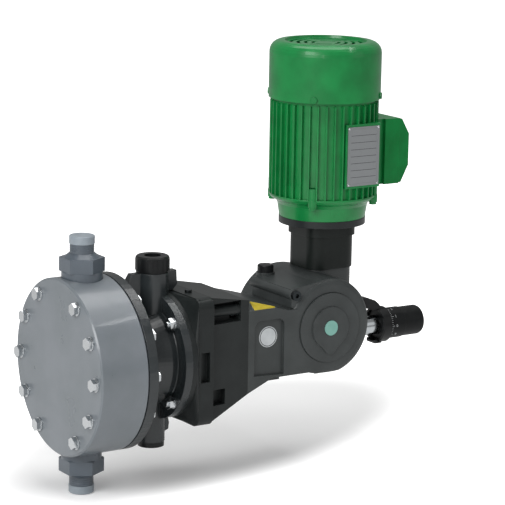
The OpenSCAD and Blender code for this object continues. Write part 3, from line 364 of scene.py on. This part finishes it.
# %% [markdown]
# ## Small forms that the drawing leaves out
# Each new piece is built in place as a mesh, in metres, and its object stays at the origin. It
# rides on the body that carries it, and wears the finish that it shares.

# %% Helpers for pieces
def finished(name, shape, finish, body):
    """Turns a bmesh into a piece that rides on a body and has a finish."""
    bmesh.ops.recalc_face_normals(shape, faces=shape.faces)
    data = bpy.data.meshes.new(name)
    shape.to_mesh(data)
    shape.free()
    data.materials.append(finish)
    piece = bpy.data.objects.new(name, data)
    bpy.context.scene.collection.objects.link(piece)
    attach(piece, body)
    print(name, "has", len(data.polygons), "faces")


def sheet_of(shape, outline, lift, soft=0.0):
    """A thin sheet from an outline of points, as thick as the lift, with its upper rim softened."""
    face = shape.faces.new([shape.verts.new(p) for p in outline])
    raised = bmesh.ops.extrude_face_region(shape, geom=[face])
    top = [v for v in raised["geom"] if isinstance(v, bmesh.types.BMVert)]
    bmesh.ops.translate(shape, verts=top, vec=lift)
    if soft:
        rim = [e for e in raised["geom"] if isinstance(e, bmesh.types.BMEdge)]
        bmesh.ops.bevel(shape, geom=rim, offset=soft, segments=2, profile=0.5, affect="EDGES",
                        material=-1)


def round_corners(corners, radius, steps=6):
    """The outline of a flat shape with its corners rounded, as points of two coordinates."""
    points = []
    for i, corner in enumerate(corners):
        here = Vector(corner)
        back = (Vector(corners[i - 1]) - here).normalized()
        ahead = (Vector(corners[(i + 1) % len(corners)]) - here).normalized()
        half = back.angle(ahead) / 2
        middle = here + (back + ahead).normalized() * (radius / math.sin(half))
        start = here + back * (radius / math.tan(half)) - middle
        end = here + ahead * (radius / math.tan(half)) - middle
        for k in range(steps + 1):
            spoke = start.lerp(end, k / steps).normalized() * radius
            points.append(tuple(middle + spoke))
    return points


print("a square with round corners has", len(round_corners([(0, 0), (1, 0), (1, 1), (0, 1)], 0.1)),
      "points")

# %% [markdown]
# ## Stickers
# A round white sticker with a thin dark ring lies in the housing's recess, and a yellow triangular
# one lies on the sloping edge above it. Both are plain. Vinyl is 0.2 mm thick, so it casts a hair
# of shadow and keeps a soft rim. The ring is printed, so it is drawn in the material, by the
# distance from the sticker's middle.

# %% Vinyl
DISC_X, DISC_Z, DISC_R = -85.7 * MM, 57.3 * MM, 12.7 * MM
RING_INSET, RING_HALF = 1.5 * MM, 0.45 * MM


def vinyl(name, dark, light, rim=None):
    """Printed vinyl: flat colour with a slight sheen, and a thin ring if a rim colour is given."""
    made = moulded(name, dark, light, 0.4, 1.0, 0.1)
    tree = made.node_tree
    shader = next(n for n in tree.nodes if n.type == "BSDF_PRINCIPLED")
    if rim:
        plain = shader.inputs["Base Color"].links[0].from_socket
        place = next(n for n in tree.nodes if n.type == "TEX_COORD").outputs["Object"]
        flat = add(tree, "VectorMath", {0: place, 1: (1, 0, 1)}, operation="MULTIPLY")
        away = add(tree, "VectorMath", {0: flat.outputs[0], 1: (DISC_X, 0, DISC_Z)},
                   operation="DISTANCE")
        ring = add(tree, "Math", {0: away.outputs["Value"], 1: DISC_R - RING_INSET, 2: RING_HALF},
                   operation="COMPARE")
        mix = add(tree, "Mix", data_type="RGBA")
        mix.inputs[7].default_value = linear(rim)
        tree.links.new(ring.outputs[0], mix.inputs[0])
        tree.links.new(plain, mix.inputs[6])
        tree.links.new(mix.outputs[2], shader.inputs["Base Color"])
    return made


white_vinyl = vinyl("white_vinyl", "#c3c8ca", "#cfd3d5", "#2a2e30")
yellow_vinyl = vinyl("yellow_vinyl", "#b9a427", "#c7b133")
print("vinyl finishes:", white_vinyl.name, yellow_vinyl.name)

# %% Stickers
RECESS_Y = -50 * MM
THICK, SOFT_RIM = 0.2 * MM, 0.06 * MM
CIRCLE_STEPS = 96
disc = bmesh.new()
turns = [math.tau * k / CIRCLE_STEPS for k in range(CIRCLE_STEPS)]
circle = [(DISC_X + DISC_R * math.cos(a), RECESS_Y, DISC_Z + DISC_R * math.sin(a)) for a in turns]
sheet_of(disc, circle, (0, -THICK, 0), SOFT_RIM)
finished("round_sticker", disc, white_vinyl, "housing")

# The slope leans back at 45 degrees from its lower edge at SLOPE_Y, SLOPE_Z. A point on it is given
# by its x and its distance s up from that edge.
SLOPE_Y, SLOPE_Z = -54 * MM, 92 * MM
LEAN = math.sqrt(0.5)
corners = [(-109.5 * MM, 14.2 * MM), (-107.6 * MM, 0.9 * MM), (-73.6 * MM, 1.2 * MM)]
triangle = round_corners(corners, 1.0 * MM)
flag = bmesh.new()
sheet_of(flag, [(x, SLOPE_Y + s * LEAN, SLOPE_Z + s * LEAN) for x, s in triangle],
         (0, -THICK * LEAN, THICK * LEAN), SOFT_RIM)
finished("triangular_sticker", flag, yellow_vinyl, "housing")

# %% [markdown]
# ## The knob's scale
# White strokes and ten plain numbers are printed round the front of the knob. They are made flat,
# then bent round the knob, as a pad print is. An image could carry them too, but real shapes stay
# crisp when the view comes close. The numbers read along the knob's axis.

# %% Helpers for the print
def bent(flat, turn, x, radius, lift):
    """Bends a flat bmesh in XY round the knob: its x runs along the knob, its y round it."""
    for vert in flat.verts:
        angle = turn + vert.co.y / radius
        r = radius + vert.co.z * lift
        vert.co = (x + vert.co.x, -r * math.cos(angle), axis_z + r * math.sin(angle))


def thick(flat):
    """Gives flat faces an upper skin at z = 1, which bent() turns into a thickness."""
    raised = bmesh.ops.extrude_face_region(flat, geom=flat.faces[:])
    top = [v for v in raised["geom"] if isinstance(v, bmesh.types.BMVert)]
    bmesh.ops.translate(flat, verts=top, vec=(0, 0, 1))


def gather(whole, part):
    """Adds one bmesh to another."""
    data = bpy.data.meshes.new("part")
    part.to_mesh(data)
    part.free()
    whole.from_mesh(data)
    bpy.data.meshes.remove(data)


def stroke(length, width):
    """A flat bar that starts at the origin and runs along x."""
    part = bmesh.new()
    bmesh.ops.create_grid(part, x_segments=4, y_segments=1, size=0.5)
    bmesh.ops.scale(part, verts=part.verts, vec=(length, width, 1))
    bmesh.ops.translate(part, verts=part.verts, vec=(length / 2, 0, 0))
    thick(part)
    return part


def number(text, height):
    """The outline of a number as a flat bmesh, its middle at the origin."""
    curve = bpy.data.curves.new("number", "FONT")
    curve.body = text
    curve.size = height
    curve.align_x = "CENTER"
    curve.align_y = "CENTER"
    curve.resolution_u = 3
    holder = bpy.data.objects.new("number", curve)
    data = bpy.data.meshes.new_from_object(holder)
    part = bmesh.new()
    part.from_mesh(data)
    bpy.data.objects.remove(holder)
    bpy.data.meshes.remove(data)
    thick(part)
    return part


sample = stroke(5 * MM, 0.4 * MM)
print("one stroke has", len(sample.faces), "faces")
sample.free()

# %% Knob scale
SCALE_X, SCALE_R = 119 * MM, 19.4 * MM
INK = 0.07 * MM
STROKES, NUMBERS = 50, 10
LONG, SHORT, STROKE_WIDTH = 5 * MM, 3 * MM, 0.4 * MM
NUMBER_HEIGHT, NUMBER_AHEAD = 5 * MM, 8.5 * MM
scale = bmesh.new()
for k in range(STROKES):
    part = stroke(LONG if k % (STROKES // NUMBERS) == 0 else SHORT, STROKE_WIDTH)
    bent(part, math.tau * k / STROKES, SCALE_X, SCALE_R, INK)
    gather(scale, part)
for k in range(NUMBERS):
    part = number(str(k), NUMBER_HEIGHT)
    bent(part, math.tau * k / NUMBERS, SCALE_X + NUMBER_AHEAD, SCALE_R, INK)
    gather(scale, part)
finished("knob_scale", scale, white_print, "knob")

# %% [markdown]
# ## Port threads
# The ports carry a pipe thread, cut with a die. A bump in the material would leave the port's
# outline straight, so each ridge is a real shape: a small trapezoid spun round and along the port,
# 2.3 mm for each turn. It stays within the clearance of the nut that it takes.

# %% Port threads
PITCH, PORT_R = 2.3 * MM, 14.2 * MM
ROOT_R, CREST_R = PORT_R - 0.1 * MM, PORT_R + 0.22 * MM
ROOT_HALF, CREST_HALF = 0.8 * MM, 0.3 * MM
THREAD_START = 8.6 * MM
TURNS, TURN_STEPS = 3, 48
MERGE = 0.001 * MM


def thread(name, z, rise):
    """One ridge that starts at height z and climbs by rise with each turn."""
    coil = bmesh.new()
    profile = [(ROOT_R, -ROOT_HALF), (CREST_R, -CREST_HALF), (CREST_R, CREST_HALF),
               (ROOT_R, ROOT_HALF)]
    face = coil.faces.new([coil.verts.new((valve_x + r, 0, z + h)) for r, h in profile])
    start = [face] + face.edges[:] + face.verts[:]
    bmesh.ops.spin(coil, geom=start, cent=(valve_x, 0, 0), axis=(0, 0, 1), angle=math.tau * TURNS,
                   steps=TURN_STEPS * TURNS, dvec=(0, 0, rise / TURN_STEPS), use_merge=False)
    bmesh.ops.remove_doubles(coil, verts=coil.verts, dist=MERGE)
    finished(name, coil, pvc_valve, "housing")


thread("discharge_thread", port_high - THREAD_START, PITCH)
thread("suction_thread", port_low + THREAD_START, -PITCH)

# %% [markdown]
# ## Body ridge
# The hydraulic body swells into a round ridge in front of its rear flange, which catches a tall
# soft highlight. It is a half round turned about the plunger's axis, so one small profile is drawn
# beside the axis and spun once round it.

# %% Body ridge
RIDGE_X = body_high[0] - 23.5 * MM
RIDGE_FOOT = 49 * MM
RIDGE_HEIGHT = 12 * MM
RIDGE_HALF = 10 * MM
ARC_STEPS, ROUND_STEPS = 14, 120
ridge = bmesh.new()
arc = [math.pi * k / ARC_STEPS for k in range(ARC_STEPS + 1)]
bead = [ridge.verts.new((RIDGE_X - RIDGE_HALF * math.cos(a), 0,
                         axis_z + RIDGE_FOOT + RIDGE_HEIGHT * math.sin(a))) for a in arc]
bead_face = ridge.faces.new(bead)
bead_edges = bead_face.edges[:]
bmesh.ops.delete(ridge, geom=[bead_face], context="FACES_ONLY")
bmesh.ops.spin(ridge, geom=bead + bead_edges, cent=(RIDGE_X, 0, axis_z), axis=(1, 0, 0),
               angle=math.tau, steps=ROUND_STEPS, use_merge=True)
for face in ridge.faces:
    face.smooth = True
finished("body_ridge", ridge, body_plastic, "housing")

# %% [markdown]
# ## Name plate
# The motor's plate carries no words. A pressed border runs round it, faint ruled lines divide it,
# and four round rivets hold it to its pad. Bars and lines are thin sheets on the plate, because a
# raised edge catches light that a painted one does not.

# %% Name plate border and lines
face_y = plate_low[1]
left_x, right_x = plate_low[0], plate_high[0]
bottom, top = plate_low[2], plate_high[2]
INSET, BORDER_WIDTH, BORDER_LIFT = 2.2 * MM, 0.8 * MM, 0.25 * MM
LINE_INSET, LINE_WIDTH, LINE_LIFT = 4.5 * MM, 0.4 * MM, 0.1 * MM
ROWS = 8
SOFT_SHARE = 0.3


def bar(shape, x0, z0, x1, z1, lift):
    """A flat bar on the plate's face, from one corner to the other."""
    sheet_of(shape, [(x0, face_y, z0), (x1, face_y, z0), (x1, face_y, z1), (x0, face_y, z1)],
             (0, -lift, 0), lift * SOFT_SHARE)


border = bmesh.new()
for x in (left_x + INSET, right_x - INSET - BORDER_WIDTH):
    bar(border, x, bottom + INSET, x + BORDER_WIDTH, top - INSET, BORDER_LIFT)
for z in (bottom + INSET, top - INSET - BORDER_WIDTH):
    bar(border, left_x + INSET + BORDER_WIDTH, z, right_x - INSET - BORDER_WIDTH, z + BORDER_WIDTH,
        BORDER_LIFT)
finished("plate_border", border, plate_metal, "housing")

lines = bmesh.new()
for k in range(1, ROWS):
    z = bottom + INSET + (top - bottom - 2 * INSET) * k / ROWS
    bar(lines, left_x + LINE_INSET, z, right_x - LINE_INSET, z + LINE_WIDTH, LINE_LIFT)
finished("plate_lines", lines, black_plastic, "housing")

# %% Name plate rivets
RIVET_INSET, RIVET_R, RIVET_HEIGHT, RIVET_ROOT = 1.9 * MM, 1.5 * MM, 0.9 * MM, 0.2 * MM


def dome(shape, centre, radius, height, outward, rings=5, steps=24):
    """A rivet's domed head: its profile is spun round the outward direction."""
    out = Vector(outward)
    side = out.orthogonal().normalized()
    foot = Vector(centre) + side * radius - out * RIVET_ROOT
    points = [Vector(centre) + side * radius * math.cos(a) + out * height * math.sin(a)
              for a in (math.pi / 2 * k / rings for k in range(rings + 1))]
    line = [shape.verts.new(p) for p in [foot] + points]
    edges = [shape.edges.new(pair) for pair in zip(line, line[1:])]
    bmesh.ops.spin(shape, geom=line + edges, cent=centre, axis=outward, angle=math.tau, steps=steps,
                   dvec=(0, 0, 0), use_merge=False)


rivets = bmesh.new()
for x in (left_x + RIVET_INSET, right_x - RIVET_INSET):
    for z in (bottom + RIVET_INSET, top - RIVET_INSET):
        dome(rivets, (x, face_y, z), RIVET_R, RIVET_HEIGHT, (0, -1, 0))
bmesh.ops.remove_doubles(rivets, verts=rivets.verts, dist=MERGE)
finished("plate_rivets", rivets, stainless, "housing")

# %% [markdown]
# ## Terminal lid screws
# Four slotted screws close the lid. Their heads stand on its flat front. A slot could be cut out
# with a boolean, but two half heads over a thin disc leave the same gap with cleaner faces.

# %% Terminal lid screws
HEAD_R, HEAD_HEIGHT, SLOT_WIDTH, SOFT_EDGE = 4.2 * MM, 2.4 * MM, 1.0 * MM, 0.3 * MM
SIDE_INSET, LOW_INSET, HIGH_INSET = 8 * MM, 27 * MM, 25 * MM
HALF_STEPS, DISC_STEPS = 16, 32
DISC_REACH, DISC_HEIGHT = 0.98, 0.45


def slotted_head(shape, centre, radius, height, outward, slot_width, slot_angle):
    """Two half heads with a slot between them, on a thin disc."""
    out = Vector(outward)
    along = out.orthogonal().normalized()
    along = Matrix.Rotation(slot_angle, 3, out) @ along
    across = out.cross(along)
    sweep = math.acos(slot_width / 2 / radius)
    for sign in (-1, 1):
        arc = [sign * (across * math.cos(a) + along * math.sin(a)) * radius
               for a in (sweep * (2 * k / HALF_STEPS - 1) for k in range(HALF_STEPS + 1))]
        sheet_of(shape, [Vector(centre) + p for p in arc], out * height, SOFT_EDGE)
    reach = radius * DISC_REACH
    disc_points = [Vector(centre) + (across * math.cos(a) + along * math.sin(a)) * reach
                   for a in (math.tau * k / DISC_STEPS for k in range(DISC_STEPS))]
    sheet_of(shape, disc_points, out * height * DISC_HEIGHT)


lid_screws = bmesh.new()
for y in (lid_low[1] + SIDE_INSET, lid_high[1] - SIDE_INSET):
    for z, slant in ((lid_low[2] + LOW_INSET, 0.5), (lid_high[2] - HIGH_INSET, 1.9)):
        slotted_head(lid_screws, (lid_high[0], y, z), HEAD_R, HEAD_HEIGHT, (1, 0, 0), SLOT_WIDTH,
                     slant)
finished("lid_screws", lid_screws, stainless, "housing")

# %% [markdown]
# ## Floor
# The pump stands on a white sweep, a sheet that rises behind it without an edge. Here it is one
# large matt plane. Under the pump an oval, laid where the shadow lies, gets only a weak glow: it
# shows the real cast shadow, and it is also a painted shadow, grey even where no shadow falls.
# Outside the oval a glow that the camera alone sees fades in, and the sweep runs into the white
# background.

# %% Floor
FLOOR_Z = cap_low[2] - 0.5 * MM
FLOOR_HALF = 6.0
CLOUDS_PER_METRE = 3.0
# The painted shadow's oval: its middle and half sizes in metres, and its turn.
PAINTED_SHADOW_MIDDLE, PAINTED_SHADOW_SIZE, PAINTED_SHADOW_TURN = (-0.05, 0.145), (0.455, 0.21), math.radians(19)
# Inside the oval the camera's glow drops to a low value, which paints the floor grey as shadow; it
# rises to full white from the fade's start to its end.
FADE_START, FADE_END, PAINTED_SHADOW_GLOW = 0.62, 1.05, 0.12


def pale_floor(z):
    """A white sweep at height z with a painted shadow in an oval under the pump, which fades into
    the background away from the pump.
    """
    floor_mesh = bmesh.new()
    bmesh.ops.create_grid(floor_mesh, x_segments=1, y_segments=1, size=FLOOR_HALF)
    bmesh.ops.translate(floor_mesh, verts=floor_mesh.verts, vec=(0, 0, z))
    data = bpy.data.meshes.new("floor")
    floor_mesh.to_mesh(data)
    floor_mesh.free()
    floor = bpy.data.objects.new("floor", data)
    bpy.context.scene.collection.objects.link(floor)
    made, tree, shader, place = blank_material("white_sweep_painted_shadow", 0.1)
    tint = add(tree, "TexNoise", {"Vector": place, "Scale": CLOUDS_PER_METRE})
    colour = two_tones(tree, tint.outputs["Fac"], "#f4f4f4", "#f8f8f8")
    tree.links.new(colour, shader.inputs["Base Color"])
    shader.inputs["Roughness"].default_value = 0.9
    shader.inputs["Emission Color"].default_value = linear("#ffffff")
    # The oval of painted shadow, measured in the floor's own coordinates.
    painted_shadow_oval = add(tree, "Mapping", {"Vector": place, "Location": (*PAINTED_SHADOW_MIDDLE, z),
                                 "Scale": (*PAINTED_SHADOW_SIZE, 1), "Rotation": (0, 0, PAINTED_SHADOW_TURN)},
               vector_type="TEXTURE")
    away = add(tree, "VectorMath", {0: painted_shadow_oval.outputs["Vector"]}, operation="LENGTH")
    fade = add(tree, "MapRange", {"Value": away.outputs["Value"], "From Min": FADE_START,
                                  "From Max": FADE_END, "To Min": PAINTED_SHADOW_GLOW, "To Max": 1.0},
               interpolation_type="SMOOTHSTEP")
    seen = add(tree, "LightPath").outputs["Is Camera Ray"]
    glow = add(tree, "Math", {0: fade.outputs["Result"], 1: seen}, operation="MULTIPLY")
    tree.links.new(glow.outputs[0], shader.inputs["Emission Strength"])
    data.materials.append(made)


pale_floor(FLOOR_Z)
print("the floor is at z =", round(FLOOR_Z, 4))

# %% [markdown]
# ## Light
# The light is soft and comes from the pump's near left side. A large box is the key, a wide one
# above softens the shadow, and a weak one fills from the right. Two narrow boxes draw the thin
# bright lines that a studio's strip lights leave on the fan cover and along the head. Each box is
# given by its place, the point it faces, its size in metres and its power in watts.

# %% Light
def softbox(name, place, target, size, watts):
    """A rectangular area lamp at a place, facing a target."""
    lamp = bpy.data.lights.new(name, "AREA")
    lamp.shape = "RECTANGLE"
    lamp.size = size[0]
    lamp.size_y = size[1]
    lamp.energy = watts
    holder = bpy.data.objects.new(name, lamp)
    holder.location = place
    holder.rotation_euler = (Vector(target) - Vector(place)).to_track_quat("-Z", "Y").to_euler()
    bpy.context.scene.collection.objects.link(holder)


softbox("key", (-2.2, -1.02, 1.4), (-0.1, 0, 0.1), (1.3, 1.3), 37)
softbox("fill", (1.3, -1.8, 1.0), (0, 0, 0.1), (1.2, 1.2), 2)
softbox("strip", (-1.62, -2.05, 1.15), (0.03, 0, 0.3), (0.14, 1.3), 3.5)
softbox("top", (0.1, 0.3, 2.2), (0, 0, 0.1), (1.6, 1.6), 22)
softbox("edge", (0.8, -0.2, 1.81), (-0.26, -0.07, 0.12), (1.6, 0.05), 3.5)
print("lamps:", [lamp.name for lamp in bpy.data.lights])

# %% [markdown]
# ## Background
# The room gives a dim even light from all sides. The camera sees a plain white backdrop instead,
# at a strength of 1, so the picture's ground is white and the pump gets no more light from it.

# %% Background
ROOM, BACKDROP = 0.3, 1.0
world = bpy.data.worlds.new("studio")
bpy.context.scene.world = world
world.use_nodes = True
sky = world.node_tree
sky.nodes.clear()
path = add(sky, "LightPath")
around = add(sky, "Background", {"Color": linear("#ffffff"), "Strength": ROOM})
backdrop = add(sky, "Background", {"Color": linear("#ffffff"), "Strength": BACKDROP})
choice = add(sky, "MixShader", {0: path.outputs["Is Camera Ray"], 1: around.outputs[0],
                                2: backdrop.outputs[0]})
add(sky, "OutputWorld", {"Surface": choice.outputs[0]})
print("the world has", len(sky.nodes), "nodes")

# %% [markdown]
# ## Camera
# The camera was fitted to the picture's edges: it stands 2.9 m away with a long lens, so the
# parallel edges of the pump hardly converge. Its focal length is 2400 pixels of a picture 505
# pixels wide. The three vectors are the picture's right, its up and the way the camera looks.

# %% Camera
FOCAL_PX, PICTURE_PX, SENSOR_MM = 2400, 505, 36
lens = bpy.data.cameras.new("camera")
lens.sensor_width = SENSOR_MM
lens.lens = SENSOR_MM * FOCAL_PX / PICTURE_PX
lens.clip_end = 50
camera = bpy.data.objects.new("camera", lens)
right = Vector((0.84212046, -0.53901217, 0.01729206))
up = Vector((0.09532475, 0.18033621, 0.978975))
forward = Vector((0.53079782, 0.82276651, -0.20324601))
stand = Vector((-1.61092, -2.3767, 0.73714))
turn = Matrix((right, up, -forward)).transposed().to_4x4()
camera.matrix_world = Matrix.Translation(stand) @ turn
bpy.context.scene.collection.objects.link(camera)
bpy.context.scene.camera = camera
bpy.context.scene.view_settings.view_transform = "Standard"
print("the lens is", round(lens.lens, 1), "mm long")
